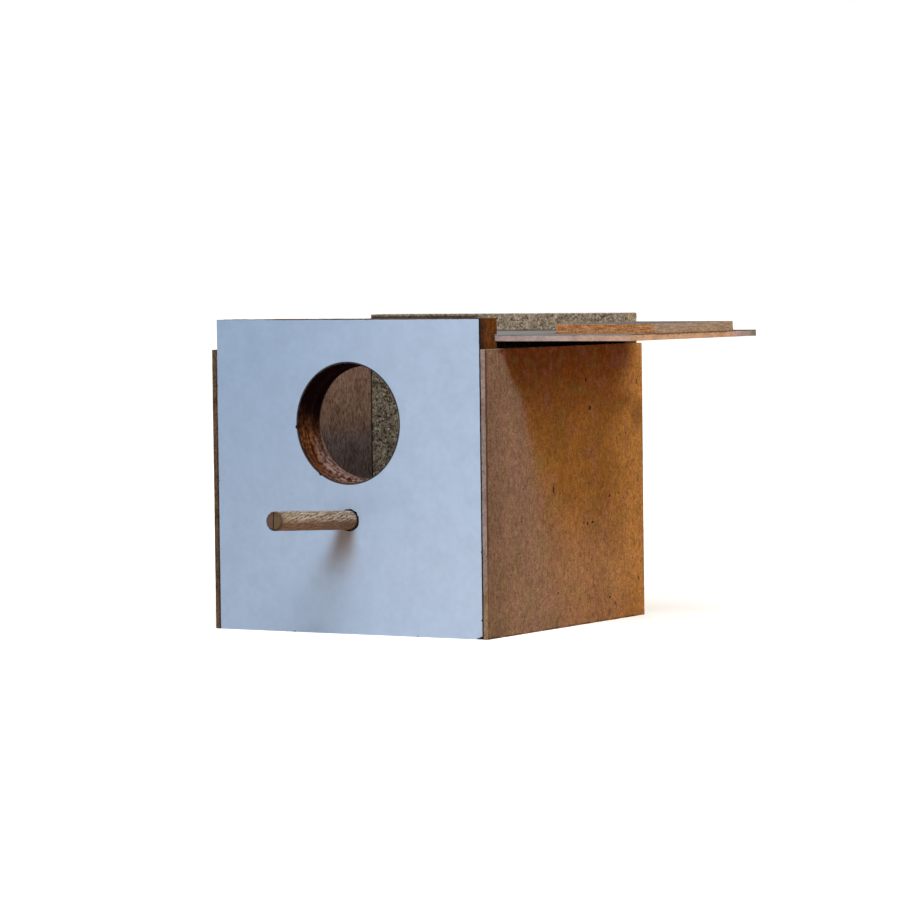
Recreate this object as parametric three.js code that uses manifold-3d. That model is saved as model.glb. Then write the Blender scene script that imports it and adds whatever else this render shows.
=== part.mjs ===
import * as THREE from "three";
import { mergeVertices } from "three/addons/utils/BufferGeometryUtils.js";
import Module from "manifold-3d";

// Budgie nest box: a small cube of boards with a round entrance, a perch and a sliding lid.
// Lengths are millimetres. +X is to the right of the front, +Y to the back and +Z up.
// The origin is the middle of the base, on the surface that the box stands on.

const wasm = await Module();
wasm.setup();

// Box
const boxDepth = 152;
const panelWidth = 148.7;
const frontHeight = 150;
const frontThickness = 16;
const backRise = 0.4;
const backThickness = 12.8;
const sideDrop = 14.5;
const sideThickness = 2.8;
const floorThickness = 16;

// White facing of the front board
const facingThickness = 0.4;
const facingSetback = 0.3;

// Entrance, bored from both faces with a small step where the two bores meet
const entranceDiameter = 57.4;
const entranceDrop = 49.5;
const entranceOffset = 0.8;
const entranceStepDepth = 8.5;
const entranceRearDiameter = 54.1;
const entranceRearShift = 1;

// Perch
const perchDiameter = 9.2;
const perchReach = 63.5;
const perchDrop = 46.1;
const perchOffset = 0.3;
const perchTilt = 2.9;
const perchChamfer = 0.7;
const perchInset = 1;
const perchClearance = 0.3;

// Nest dish, a shallow bowl turned into the floor
const dishDiameter = 90;
const dishDepth = 8;

// Lid, which slides in a saw kerf along the front board and another along the back board
const lidThickness = 3;
const lidFacingThickness = 0.25;
const lidAboveSides = 3.5;
const lidClearance = 0.3;
const lidOpening = 69.3;
const kerfDepth = 2;

// Grip plate on the lid
const gripLength = 53.2;
const gripWidth = 78.5;
const gripThickness = 4.6;

// Brads
const bradDiameter = 1.2;
const bradHeadDiameter = 2;
const bradHeadThickness = 0.6;
const bradSink = 0.3;
const bradClearance = 0.3;
const sideBradLength = 18;
const backBradLength = 30;
const bradShares = [0.14, 0.5, 0.86];

// Cuts and curves
const overrun = 2;
const entranceSegments = 72;
const perchSegments = 32;
const dishSegments = 48;
const dishSteps = 6;
const bradSegments = 8;

// Places worked out from the sizes
const frontFaceY = -boxDepth / 2;
const frontBackY = frontFaceY + frontThickness;
const backFaceY = boxDepth / 2;
const backInnerY = backFaceY - backThickness;
const sideInnerX = panelWidth / 2;
const sideOuterX = sideInnerX + sideThickness;
const backHeight = frontHeight + backRise;
const sideHeight = frontHeight - sideDrop;
const entranceHeight = frontHeight - entranceDrop;
const perchHeight = entranceHeight - perchDrop;
const lidUnderside = sideHeight + lidAboveSides;
const lidTop = lidUnderside + lidThickness;
const lidLength = 2 * sideOuterX;
const lidFrontY = frontBackY - kerfDepth + lidClearance;
const lidBackY = backInnerY + kerfDepth - lidClearance;
const lidMiddleY = (lidFrontY + lidBackY) / 2;
const floorMiddleY = (frontBackY + backInnerY) / 2;
const perchTiltAngle = THREE.MathUtils.degToRad(perchTilt);

// Colours, and how rough each surface is
const whiteFacing = new THREE.MeshStandardMaterial({ color: "#a9b8cd", roughness: 0.45 });
const brownBoard = new THREE.MeshStandardMaterial({ color: "#5f3a1f", roughness: 0.85 });
const hardboard = new THREE.MeshStandardMaterial({ color: "#80583a", roughness: 0.8 });
const chipboard = new THREE.MeshStandardMaterial({ color: "#7e6c5a", roughness: 0.9 });
const lidBoard = new THREE.MeshStandardMaterial({ color: "#a08a82", roughness: 0.8 });
const lidFacing = new THREE.MeshStandardMaterial({ color: "#98948c", roughness: 0.5 });
const gripBoard = new THREE.MeshStandardMaterial({ color: "#9b6e4a", roughness: 0.8 });
const beech = new THREE.MeshStandardMaterial({ color: "#8c7d70", roughness: 0.7 });
const steel = new THREE.MeshStandardMaterial({ color: "#6b645d", roughness: 0.5, metalness: 0.8 });

// Turns a closed geometry into a solid that can be joined and cut
function asSolid(geometry) {
  const bare = geometry.clone();
  bare.deleteAttribute("normal");
  bare.deleteAttribute("uv");
  const welded = mergeVertices(bare);
  const mesh = new wasm.Mesh({
    numProp: 3,
    vertProperties: new Float32Array(welded.attributes.position.array),
    triVerts: new Uint32Array(welded.index.array),
  });
  return new wasm.Manifold(mesh);
}

// Turns a solid back into a geometry
function asGeometry(solid) {
  const mesh = solid.getMesh();
  const geometry = new THREE.BufferGeometry();
  geometry.setAttribute("position", new THREE.BufferAttribute(mesh.vertProperties, mesh.numProp));
  geometry.setIndex(new THREE.BufferAttribute(mesh.triVerts, 1));
  geometry.computeVertexNormals();
  return geometry;
}

// A board whose middle is at place, with tools given in the box's own frame cut out of it
function board(name, size, place, material, tools = []) {
  const plain = new THREE.BoxGeometry(size.x, size.y, size.z);
  let geometry = plain;
  if (tools.length > 0) {
    let solid = asSolid(plain);
    for (const tool of tools) {
      const moved = tool.clone().translate(-place.x, -place.y, -place.z);
      solid = solid.subtract(asSolid(moved));
    }
    geometry = asGeometry(solid);
  }
  const mesh = new THREE.Mesh(geometry, material);
  mesh.name = name;
  mesh.position.copy(place);
  return mesh;
}

// A round cutter along Y between two depths
function boreTool(diameter, x, z, fromY, toY, segments) {
  const bore = new THREE.CylinderGeometry(diameter / 2, diameter / 2, toY - fromY, segments);
  return bore.translate(x, (fromY + toY) / 2, z);
}

// A block cutter between two corners
function blockTool(low, high) {
  const size = new THREE.Vector3().subVectors(high, low);
  const middle = new THREE.Vector3().addVectors(low, high).multiplyScalar(1 / 2);
  return new THREE.BoxGeometry(size.x, size.y, size.z).translate(middle.x, middle.y, middle.z);
}

// A round body about Y from half of its outline, listed as radius and height from the top down
function turned(outline, segments) {
  const points = outline.map(([radius, height]) => new THREE.Vector2(radius, height));
  return new THREE.LatheGeometry(points.reverse(), segments);
}

// One brad, head at the origin and shank along -Y, or the hole for it when it is grown
function bradShape(length, grow, above) {
  const shank = bradDiameter / 2 + grow;
  const head = bradHeadDiameter / 2 + grow;
  const outline = [
    [0, above],
    [head, above],
    [head, -bradHeadThickness - grow],
    [shank, -bradHeadThickness - grow],
    [shank, bradDiameter - length - grow],
    [0, -length - grow],
  ];
  return turned(outline, bradSegments);
}

// A row of brads, numbered from 1: each place is where the shank goes through the surface
function bradRow(name, length, places, inward) {
  const turn = new THREE.Quaternion().setFromUnitVectors(new THREE.Vector3(0, -1, 0), inward);
  const brads = [];
  const holes = [];
  for (const [index, place] of places.entries()) {
    const head = place.clone().addScaledVector(inward, bradSink);
    const brad = new THREE.Mesh(bradShape(length, 0, 0), steel);
    brad.name = `${name}_${index + 1}`;
    brad.position.copy(head);
    brad.quaternion.copy(turn);
    brads.push(brad);
    const hole = bradShape(length, bradClearance, bradSink + overrun).applyQuaternion(turn);
    holes.push(hole.translate(head.x, head.y, head.z));
  }
  return { brads, holes };
}

// The brads that hold one side board to the front, the back and the floor
function sideBrads(side, sign) {
  const inward = new THREE.Vector3(-sign, 0, 0);
  const at = (y, z) => new THREE.Vector3(sign * sideOuterX, y, z);
  const frontY = frontFaceY + frontThickness / 2;
  const backY = backFaceY - backThickness / 2;
  const heights = bradShares.map((share) => share * sideHeight);
  const depths = bradShares.map((share) => frontBackY + share * (backInnerY - frontBackY));
  return {
    front: bradRow(`${side}_front_brad`, sideBradLength, heights.map((z) => at(frontY, z)), inward),
    back: bradRow(`${side}_back_brad`, sideBradLength, heights.map((z) => at(backY, z)), inward),
    floor: bradRow(
      `${side}_floor_brad`, sideBradLength, depths.map((y) => at(y, floorThickness / 2)), inward),
  };
}

// The brads that hold the back board to the floor
function backFloorBrads() {
  const inward = new THREE.Vector3(0, -1, 0);
  const widths = bradShares.map((share) => share * panelWidth - sideInnerX);
  const places = widths.map((x) => new THREE.Vector3(x, backFaceY, floorThickness / 2));
  return bradRow("back_floor_brad", backBradLength, places, inward);
}

// The two bores of the entrance
function entranceTools() {
  const stepY = frontFaceY + entranceStepDepth;
  const rearX = entranceOffset + entranceRearShift;
  return [
    boreTool(entranceDiameter, entranceOffset, entranceHeight,
      frontFaceY - overrun, stepY, entranceSegments),
    boreTool(entranceRearDiameter, rearX, entranceHeight,
      frontFaceY - overrun, frontBackY + overrun, entranceSegments),
  ];
}

// The perch's hole, drilled at the perch's own tilt
function perchHoleTool() {
  const diameter = perchDiameter + 2 * perchClearance;
  const hole = boreTool(diameter, 0, 0, -frontThickness, 2 * frontThickness, perchSegments);
  return hole.rotateX(-perchTiltAngle).translate(perchOffset, frontFaceY, perchHeight);
}

// The kerf that a board has for one edge of the lid, cut to kerfDepth below the face at faceY
function kerfTool(faceY, outward) {
  const bottomY = faceY + outward * kerfDepth;
  const openY = faceY - outward * overrun;
  return blockTool(
    new THREE.Vector3(-sideOuterX - overrun, Math.min(bottomY, openY), lidUnderside - lidClearance),
    new THREE.Vector3(sideOuterX + overrun, Math.max(bottomY, openY), lidTop + lidClearance));
}

// The nest dish, part of a sphere that is dishDiameter wide at the floor's top
function dishTool() {
  const rim = dishDiameter / 2;
  const radius = (rim * rim + dishDepth * dishDepth) / (2 * dishDepth);
  const halfAngle = Math.asin(rim / radius);
  const outline = [[0, overrun], [rim, overrun]];
  for (let step = dishSteps; step >= 0; step -= 1) {
    const angle = halfAngle * (step / dishSteps);
    outline.push([radius * Math.sin(angle), radius - dishDepth - radius * Math.cos(angle)]);
  }
  const bowl = turned(outline, dishSegments).rotateX(Math.PI / 2);
  return bowl.translate(0, floorMiddleY, floorThickness);
}

// The front board and its white facing
function frontBoards(brads) {
  const coreThickness = frontThickness - facingThickness;
  const coreY = frontBackY - coreThickness / 2;
  const facingY = frontFaceY + facingThickness / 2;
  const holes = [...entranceTools(), perchHoleTool()];
  return [
    board("front_panel",
      new THREE.Vector3(panelWidth, coreThickness, frontHeight),
      new THREE.Vector3(0, coreY, frontHeight / 2),
      brownBoard, [...holes, kerfTool(frontBackY, -1), ...brads]),
    board("front_facing",
      new THREE.Vector3(panelWidth - 2 * facingSetback, facingThickness, frontHeight - facingSetback),
      new THREE.Vector3(0, facingY, (frontHeight - facingSetback) / 2),
      whiteFacing, holes),
  ];
}

// The back board
function backBoard(brads) {
  return board("back_panel",
    new THREE.Vector3(panelWidth, backThickness, backHeight),
    new THREE.Vector3(0, backFaceY - backThickness / 2, backHeight / 2),
    chipboard, [kerfTool(backInnerY, 1), ...brads]);
}

// A side board, on the outside of the front and back boards' ends
function sideBoard(name, sign, brads) {
  return board(name,
    new THREE.Vector3(sideThickness, boxDepth, sideHeight),
    new THREE.Vector3(sign * (sideInnerX + sideThickness / 2), 0, sideHeight / 2),
    hardboard, brads);
}

// The floor, between the four walls
function floorBoard(brads) {
  return board("floor",
    new THREE.Vector3(panelWidth, backInnerY - frontBackY, floorThickness),
    new THREE.Vector3(0, floorMiddleY, floorThickness / 2),
    brownBoard, [dishTool(), ...brads]);
}

// The perch, a dowel with a chamfered tip that slopes up a little from the board
function perch() {
  const radius = perchDiameter / 2;
  const outline = [
    [0, perchReach],
    [radius - perchChamfer, perchReach],
    [radius, perchReach - perchChamfer],
    [radius, perchInset - frontThickness],
    [0, perchInset - frontThickness],
  ];
  const mesh = new THREE.Mesh(turned(outline, perchSegments).rotateX(Math.PI), beech);
  mesh.name = "perch";
  mesh.position.set(perchOffset, frontFaceY, perchHeight);
  mesh.rotation.x = -perchTiltAngle;
  return mesh;
}

// The lid with its facing and grip plate, open by lidOpening
function lid() {
  const sheetThickness = lidThickness - lidFacingThickness;
  const lidDepth = lidBackY - lidFrontY;
  const group = new THREE.Group();
  group.position.set(lidOpening, lidMiddleY, lidUnderside);
  group.add(
    board("lid_sheet",
      new THREE.Vector3(lidLength, lidDepth, sheetThickness),
      new THREE.Vector3(0, 0, sheetThickness / 2), lidBoard),
    board("lid_facing",
      new THREE.Vector3(lidLength, lidDepth, lidFacingThickness),
      new THREE.Vector3(0, 0, sheetThickness + lidFacingThickness / 2), lidFacing),
    board("grip_plate",
      new THREE.Vector3(gripLength, gripWidth, gripThickness),
      new THREE.Vector3(lidLength / 2 - gripLength / 2, 0, lidThickness + gripThickness / 2),
      gripBoard),
  );
  return group;
}

const left = sideBrads("left", -1);
const right = sideBrads("right", 1);
const rear = backFloorBrads();

const nestBox = new THREE.Group();
nestBox.add(
  ...frontBoards([...left.front.holes, ...right.front.holes]),
  backBoard([...left.back.holes, ...right.back.holes, ...rear.holes]),
  sideBoard("left_side", -1, [...left.front.holes, ...left.back.holes, ...left.floor.holes]),
  sideBoard("right_side", 1, [...right.front.holes, ...right.back.holes, ...right.floor.holes]),
  floorBoard([...left.floor.holes, ...right.floor.holes, ...rear.holes]),
  perch(),
  lid(),
  ...left.front.brads, ...left.back.brads, ...left.floor.brads,
  ...right.front.brads, ...right.back.brads, ...right.floor.brads,
  ...rear.brads,
);

export default nestBox;
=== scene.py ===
import math

import bmesh
import bpy
import numpy as np
from mathutils import Matrix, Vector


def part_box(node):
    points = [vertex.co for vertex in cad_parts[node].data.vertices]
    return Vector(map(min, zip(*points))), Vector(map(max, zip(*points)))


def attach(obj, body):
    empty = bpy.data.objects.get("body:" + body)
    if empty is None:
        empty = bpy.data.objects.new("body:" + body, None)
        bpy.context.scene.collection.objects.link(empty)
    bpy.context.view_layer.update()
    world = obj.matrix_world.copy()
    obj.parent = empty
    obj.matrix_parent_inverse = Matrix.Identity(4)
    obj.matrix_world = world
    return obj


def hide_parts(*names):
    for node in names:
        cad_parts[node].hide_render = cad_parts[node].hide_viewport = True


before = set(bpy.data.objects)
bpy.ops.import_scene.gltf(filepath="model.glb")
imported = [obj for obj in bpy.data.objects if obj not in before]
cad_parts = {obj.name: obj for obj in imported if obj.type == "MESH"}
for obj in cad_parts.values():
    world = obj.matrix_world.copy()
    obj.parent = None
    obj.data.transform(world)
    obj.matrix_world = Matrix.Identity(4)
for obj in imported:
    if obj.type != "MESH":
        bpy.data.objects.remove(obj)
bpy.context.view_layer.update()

# The looks of a budgie nest box: faced board, fibreboard, hardboard, chipboard and a beech perch.
# +X is to the right, +Y to the back and +Z up. Lengths are millimetres, which joined() and Finish
# turn to and from the frame's metres. Only the lamps and the camera are placed in metres.

MM = 0.001
FULL_TURN = 2 * math.pi
# Points nearer to each other than this are merged
WELD = 0.002
# Sine waves in a random relief
WAVES = 28
# How far a cutter sticks out
OVERRUN = 2
# Edges sharper than this stay sharp
SHARP_ANGLE = math.radians(38)
# A board's wide faces have normals at least this much along its thin axis
WIDE_FACE = 0.7

# Entrance and perch, as the boards are bored
ENTRANCE_X = 0.8
ENTRANCE_Z = 100.5
ENTRANCE_RADIUS = 28.7
ENTRANCE_REAR_RADIUS = 27.05
ENTRANCE_REAR_SHIFT = 1
ENTRANCE_STEP_DEPTH = 8.5
PERCH_X = 0.3
PERCH_Z = 54.4
PERCH_RADIUS = 4.6
PERCH_REACH = 63.5
PERCH_INSET = 1
PERCH_CHAMFER = 0.7
PERCH_TILT = math.radians(2.9)
PERCH_CLEARANCE = 0.3

# Lid kerfs, floor dish and brads
KERF_DEPTH = 2
KERF_CLEARANCE = 0.3
DISH_RADIUS = 45
DISH_DEPTH = 8
BRAD_HEAD_RADIUS = 1
BRAD_HEAD_THICKNESS = 0.6
BRAD_SHANK_RADIUS = 0.6
BRAD_POCKET_RADIUS = 1.04
BRAD_POCKET_DEPTH = 1.2


def to_mm(box):
    """The low and high corners of a node's box, in millimetres."""
    return [np.array(corner) / MM for corner in box]


front_low, front_high = to_mm(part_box("front_panel"))
facing_low, facing_high = to_mm(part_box("front_facing"))
back_low, back_high = to_mm(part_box("back_panel"))
lid_low, lid_high = to_mm(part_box("lid_sheet"))
paint_low, paint_high = to_mm(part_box("lid_facing"))
grip_low, grip_high = to_mm(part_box("grip_plate"))
floor_low, floor_high = to_mm(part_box("floor"))
face_y = facing_low[1]
lid_top = paint_high[2]
tip_y = face_y - PERCH_REACH * math.cos(PERCH_TILT)
perch_start = np.array([PERCH_X, face_y, PERCH_Z])
perch_turn = Matrix.Rotation(-PERCH_TILT, 4, "X")


# Shapes

def linked(name, data):
    """A new object in the scene."""
    item = bpy.data.objects.new(name, data)
    bpy.context.scene.collection.objects.link(item)
    return item


def joined(name, points, faces):
    """A mesh object at the origin whose doubled points are merged and whose faces point outwards."""
    mesh = bpy.data.meshes.new(name)
    mesh.from_pydata((points.reshape(-1, 3) * MM).tolist(), [], faces.tolist())
    shape = bmesh.new()
    shape.from_mesh(mesh)
    bmesh.ops.remove_doubles(shape, verts=shape.verts, dist=WELD * MM)
    bmesh.ops.recalc_face_normals(shape, faces=shape.faces)
    shape.to_mesh(mesh)
    shape.free()
    return linked(name, mesh)


def grid_faces(rows, columns, wrap=False):
    """The four-sided faces of a grid of points; wrap joins the last column to the first."""
    index = np.arange(rows * columns).reshape(rows, columns)
    if wrap:
        index = np.hstack([index, index[:, :1]])
    sides = [index[:-1, :-1], index[:-1, 1:], index[1:, 1:], index[1:, :-1]]
    return np.stack(sides, axis=-1).reshape(-1, 4)


def around(count):
    """Evenly spaced angles of a full turn."""
    return np.linspace(0, FULL_TURN, count, endpoint=False)


def waves(points, size, seed):
    """Smooth random relief, mostly from -1 to 1: the sum of sine waves about size long that run
    in seeded directions, divided by the square root of half their number."""
    random = np.random.default_rng(seed)
    directions = random.normal(size=(3, WAVES))
    directions /= np.linalg.norm(directions, axis=0)
    lengths = size * random.uniform(0.7, 1.5, WAVES)
    phases = random.uniform(0, FULL_TURN, WAVES)
    angles = points @ (directions * (FULL_TURN / lengths)) + phases
    return np.sin(angles).sum(axis=-1) / math.sqrt(WAVES / 2)


def grid_lines(low, high, ease, step):
    """Places of grid lines from low to high: close together over each eased edge, then a step apart."""
    edge = ease * np.array([0, 0.3, 0.65, 1])
    count = max(2, round((high - low - 2.6 * ease) / step) + 1)
    middle = np.linspace(low + 1.3 * ease, high - 1.3 * ease, count)
    return np.concatenate([low + edge, middle, high - edge[::-1]])


def eased_board(name, low, high, ease, step, relief):
    """A board from low to high with round edges of radius ease. Each point of a gridded block is
    brought to the distance ease from the block shrunk by ease, and then moved out by relief."""
    lines = [grid_lines(low[axis], high[axis], ease, step) for axis in range(3)]
    points, faces, start = [], [], 0
    for axis in range(3):
        across, along = [other for other in range(3) if other != axis]
        for level in (low[axis], high[axis]):
            side = np.empty((len(lines[across]), len(lines[along]), 3))
            side[..., axis] = level
            side[..., across] = lines[across][:, None]
            side[..., along] = lines[along][None, :]
            points.append(side.reshape(-1, 3))
            faces.append(grid_faces(*side.shape[:2]) + start)
            start += side.shape[0] * side.shape[1]
    block = np.concatenate(points)
    core = np.clip(block, low + ease, high - ease)
    outward = block - core
    outward /= np.linalg.norm(outward, axis=1, keepdims=True)
    skin = core + outward * ease
    skin += outward * relief(skin, outward)[:, None]
    return joined(name, skin, np.concatenate(faces))


def turned_body(name, depths, radii, start, turn=None, shifts=0):
    """A closed body of rings about Y: the place of each ring along Y, the distances of its points
    from the axis and its shift in X. The first and last rings shrink to a point."""
    radii[[0, -1]] = 0
    angles = around(radii.shape[1])
    points = np.stack([
        radii * np.cos(angles) + np.reshape(shifts, (-1, 1)),
        np.broadcast_to(np.reshape(depths, (-1, 1)), radii.shape),
        radii * np.sin(angles),
    ], axis=-1)
    if turn is not None:
        points = points @ np.array(turn.to_3x3()).T
    return joined(name, points + np.array(start), grid_faces(*radii.shape, wrap=True))


def plug(name, front, back, radii, start, turn=None):
    """A closed cutter with flat ends along Y, whose outline has the given radii."""
    return turned_body(name, [front, front, back, back], np.tile(radii, (4, 1)), start, turn)


def cut(piece, *tools):
    """Cuts closed tool bodies out of a piece for good. Cut faces take the tool's material."""
    for tool in tools:
        modifier = piece.modifiers.new(tool.name, "BOOLEAN")
        modifier.operation = "DIFFERENCE"
        modifier.solver = "MANIFOLD"
        modifier.material_mode = "TRANSFER"
        modifier.object = tool
    graph = bpy.context.evaluated_depsgraph_get()
    whole = piece.data
    piece.data = bpy.data.meshes.new_from_object(piece.evaluated_get(graph))
    piece.modifiers.clear()
    bpy.data.meshes.remove(whole)
    for tool in tools:
        bpy.data.objects.remove(tool)


def paint(piece, face, rim=None, thin_axis=0, rear=None, rear_sign=0):
    """Gives a piece its material, its rim another, and another to the wide face on its rear side:
    the wide faces are those whose normals lie near the thin axis."""
    piece.data.materials.append(face)
    if rim is None:
        return
    piece.data.materials.append(rim)
    normals = np.empty(len(piece.data.polygons) * 3)
    piece.data.polygons.foreach_get("normal", normals)
    along = normals.reshape(-1, 3)[:, thin_axis]
    index = (np.abs(along) < WIDE_FACE).astype(np.int32)
    if rear is not None:
        piece.data.materials.append(rear)
        index[along * rear_sign > WIDE_FACE] = 2
    piece.data.polygons.foreach_set("material_index", index)


def settle(piece, body, slot, *nodes):
    """Smooths a finished piece, puts it on its body and lets it stand for its CAD nodes."""
    piece.data.shade_smooth()
    piece.data.set_sharp_from_angle(angle=SHARP_ANGLE)
    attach(piece, body)
    if nodes:
        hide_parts(*nodes)


# Materials

def tone(red, green, blue):
    """A colour from its 0 to 255 screen values."""
    values = np.array([red, green, blue]) / 255
    linear = np.where(values <= 0.04045, values / 12.92, ((values + 0.055) / 1.055) ** 2.4)
    return (*linear.tolist(), 1.0)


class Value:
    """A number that nodes work out. A sum written with it adds the node that does the sum."""

    def __init__(self, nodes, socket):
        self.nodes = nodes
        self.socket = socket

    def __add__(self, other):
        return self.nodes.maths("ADD", self, other)

    def __sub__(self, other):
        return self.nodes.maths("SUBTRACT", self, other)

    def __rsub__(self, other):
        return self.nodes.maths("SUBTRACT", other, self)

    def __mul__(self, other):
        return self.nodes.maths("MULTIPLY", self, other)

    def __truediv__(self, other):
        return self.nodes.maths("DIVIDE", self, other)

    def __abs__(self):
        return self.nodes.maths("ABSOLUTE", self)


class Nodes:
    """The nodes of a material or of the world."""

    def __init__(self, tree):
        self.tree = tree

    def feed(self, node, sockets):
        """Gives each named socket of a node its value or the output that feeds it."""
        for key, value in sockets.items():
            if isinstance(value, Value):
                value = value.socket
            if isinstance(value, bpy.types.NodeSocket):
                self.tree.links.new(value, node.inputs[key])
            else:
                node.inputs[key].default_value = value
        return node

    def add(self, kind, sockets, **settings):
        """Adds a node."""
        node = self.tree.nodes.new(kind)
        for key, value in settings.items():
            setattr(node, key, value)
        return self.feed(node, sockets)

    def value(self, kind, sockets, output=0, **settings):
        """Adds a node and gives one of its outputs as a number."""
        return Value(self, self.add(kind, sockets, **settings).outputs[output])

    def maths(self, operation, first, second=0.0):
        """One sum of two numbers."""
        return self.value("ShaderNodeMath", {0: first, 1: second}, operation=operation)

    def between(self, value, low, high, to_low=0.0, to_high=1.0):
        """A number carried smoothly from one range to another and held at its ends."""
        sockets = {"Value": value, "From Min": low, "From Max": high,
                   "To Min": to_low, "To Max": to_high}
        return self.value("ShaderNodeMapRange", sockets, interpolation_type="SMOOTHSTEP")

    def mix(self, amount, first, second, kind="MIX"):
        """Two colours mixed by an amount."""
        return self.add("ShaderNodeMix", {0: amount, 6: first, 7: second},
                        data_type="RGBA", blend_type=kind).outputs[2]


class Finish(Nodes):
    """A material, made of layers over the colour so far. Patterns read the object's own
    coordinates, in millimetres."""

    def __init__(self, name):
        self.material = bpy.data.materials.new(name)
        self.material.use_nodes = True
        super().__init__(self.material.node_tree)
        self.shader = self.tree.nodes["Principled BSDF"]
        metres = self.add("ShaderNodeTexCoord", {}).outputs["Object"]
        sockets = {"Vector": metres, "Scale": (1 / MM, 1 / MM, 1 / MM)}
        self.place = self.add("ShaderNodeMapping", sockets).outputs["Vector"]
        axes = self.add("ShaderNodeSeparateXYZ", {0: self.place}).outputs
        self.x, self.y, self.z = (Value(self, axis) for axis in axes)
        self.colour = None

    def spread(self, size, stretch, shift):
        """The place measured in pattern sizes, stretched along the axes and shifted."""
        scale = tuple(1 / (size * factor) for factor in stretch)
        sockets = {"Vector": self.place, "Scale": scale, "Location": (shift, shift, shift)}
        return self.add("ShaderNodeMapping", sockets).outputs["Vector"]

    def noise(self, size, stretch=(1, 1, 1), shift=0, detail=2, bend=0):
        """A cloudy value from 0 to 1 whose lumps are about size across; bend tangles them."""
        vector = self.spread(size, stretch, shift)
        sockets = {"Vector": vector, "Scale": 1, "Detail": detail, "Distortion": bend}
        return self.value("ShaderNodeTexNoise", sockets, "Fac")

    def cells(self, size, stretch=(1, 1, 1), shift=0):
        """Flakes about size across: two random values for each, and the distance from its middle."""
        vector = self.spread(size, stretch, shift)
        flakes = self.add("ShaderNodeTexVoronoi", {"Vector": vector, "Scale": 1}).outputs
        first, second, _ = self.add("ShaderNodeSeparateColor", {0: flakes["Color"]}).outputs
        return [Value(self, output) for output in (first, second, flakes["Distance"])]

    def ramp(self, value, places, *colours):
        """A colour from a value that passes through the given screen colours at the places."""
        node = self.add("ShaderNodeValToRGB", {"Fac": value})
        elements = node.color_ramp.elements
        while len(elements) < len(colours):
            elements.new(1.0)
        for element, position, colour in zip(elements, places, colours):
            element.position = position
            element.color = tone(*colour)
        return node.outputs["Color"]

    def out(self, across, up):
        """The distance from a middle, from the distances across and up."""
        return self.maths("SQRT", across * across + up * up)

    def spot(self, centre, half_size):
        """A soft-edged oval: 1 inside, 0 outside. A half size of 0 makes it endless that way."""
        scale = tuple(1 / half if half else 0 for half in half_size)
        shift = tuple(-middle * factor for middle, factor in zip(centre, scale))
        vector = self.add("ShaderNodeMapping", {"Vector": self.place, "Scale": scale, "Location": shift})
        length = self.value("ShaderNodeVectorMath", {0: vector.outputs[0]}, "Value", operation="LENGTH")
        return self.between(length, 0.6, 1.2, 1, 0)

    def speckle(self, first, second, share=0.5):
        """Two patterns added in the given shares."""
        return first * (1 - share) + second * share

    def over(self, amount, colour):
        """Lays a screen colour over the colour so far, by an amount."""
        self.colour = self.mix(amount, self.colour, tone(*colour))

    def shade(self, value, low, high, darkest, lightest=1):
        """Multiplies the colour so far by a grey that goes from darkest to lightest with a value."""
        grey = self.between(value, low, high, darkest, lightest)
        self.colour = self.mix(1, self.colour, grey, "MULTIPLY")

    def done(self, roughness, height, depth, specular):
        """Joins the colour, the roughness and a relief of the given depth to the shader."""
        bump = self.add("ShaderNodeBump", {"Height": height, "Distance": depth * MM, "Strength": 1})
        self.feed(self.shader, {"Base Color": self.colour, "Roughness": roughness,
                                "Normal": bump.outputs["Normal"], "Specular IOR Level": specular})
        return self.material


# Where a grain turns dark, middling and light
GRAIN = (0.36, 0.5, 0.64)
WIDE_GRAIN = (0.34, 0.5, 0.66)


def white_facing_finish():
    """Cool white melamine: a little greyer up on the left than down on the right, a painted fall of
    light, with faint clouds, a few grey specks, a fine orange peel and a soft sheen. The entrance's
    rim is dark, the ring round the perch is painted shade, and the brown patch below the perch is
    its painted shadow."""
    finish = Finish("white_facing")
    # Painted fall of light: greyer up on the left, paler down on the right
    lit = finish.speckle(finish.between(finish.x, -75, 75), finish.between(finish.z, 150, 0), 0.4)
    finish.colour = finish.mix(lit, tone(148, 168, 194), tone(180, 195, 216))
    finish.shade(finish.noise(9, detail=4), 0.3, 0.7, 0.955, 1.015)
    finish.shade(finish.noise(3.2, shift=19, detail=3), 0.3, 0.7, 0.97, 1.012)
    speck = finish.between(finish.noise(1.1, shift=3, detail=1), 0.72, 0.8)
    finish.over(speck * 0.16, (120, 132, 150))
    # Painted shadow of the perch: a brown patch that leans left as it falls and fades downwards
    below = PERCH_Z - finish.z
    aside = abs(finish.x + below * 0.24 - PERCH_X) / (below * 0.3 + 4.5)
    dark_patch = finish.between(aside, 0.2, 1.3, 0.78, 0) * finish.between(below, 4, 34, 1, 0)
    finish.over(dark_patch * finish.between(below, 0, 4), (126, 90, 54))
    # Dark rings round the holes; round the perch the ring is painted shade in the gap
    for x, z, radius in ((ENTRANCE_X, ENTRANCE_Z, ENTRANCE_RADIUS), (PERCH_X, PERCH_Z, PERCH_RADIUS)):
        away = finish.out(finish.x - x, finish.z - z)
        finish.over(finish.between(away, radius + 0.45, radius + 0.75, 0.98, 0), (20, 12, 14))
    roughness = finish.between(finish.noise(9, shift=5), 0.3, 0.7, 0.36, 0.48)
    return finish.done(roughness, finish.noise(0.9, shift=9), 0.012, 0.4)


def fibreboard_finish(name, *tones):
    """Raw fibreboard: short matted fibres in three tones under slow clouds."""
    finish = Finish(name)
    fibre = finish.noise(0.7, detail=3)
    finish.colour = finish.ramp(finish.speckle(fibre, finish.noise(7, shift=4), 0.35), GRAIN, *tones)
    return finish.done(0.85, fibre, 0.05, 0.03)


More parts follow.
